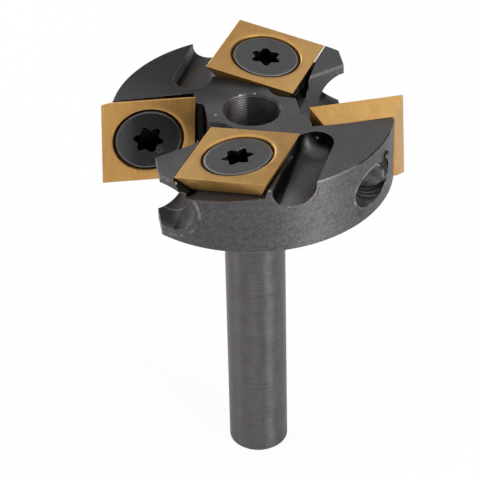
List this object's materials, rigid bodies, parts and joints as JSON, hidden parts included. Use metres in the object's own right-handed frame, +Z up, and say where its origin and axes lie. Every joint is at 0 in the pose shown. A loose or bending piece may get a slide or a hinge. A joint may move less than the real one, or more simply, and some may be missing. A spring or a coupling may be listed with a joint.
{
  "type": "surfacing router bit",
  "caption": "Disc-headed router cutter on a straight shank, with lying and standing square inserts screwed into machined pockets.",
  "frame": {"origin": "middle of the shank's flat end, on the tool's axis", "axes": "+Z up the shank to the cutting face; the standing inserts' faces look along -Y at -X and along +Y at +X"},
  "size_m": [0.0386, 0.0384, 0.0558],
  "materials": {
    "head_black_oxide": "black oxide over turned and milled steel, satin",
    "shank_black_oxide": "black oxide over fine turned rings, satin",
    "insert_gold_coating": "gold nitride coating over ground carbide, satin",
    "screw_black_oxide": "black oxide, turned head"
  },
  "bodies": {
    "root": {"cutter_head": "head_black_oxide", "shank": "shank_black_oxide", "insert_lying_a": "insert_gold_coating", "insert_lying_b": "insert_gold_coating", "insert_standing_a": "insert_gold_coating", "insert_standing_b": "insert_gold_coating", "screw_lying_a": "screw_black_oxide", "screw_lying_b": "screw_black_oxide", "screw_standing_a": "screw_black_oxide", "screw_standing_b": "screw_black_oxide"}
  },
  "joints": []
}
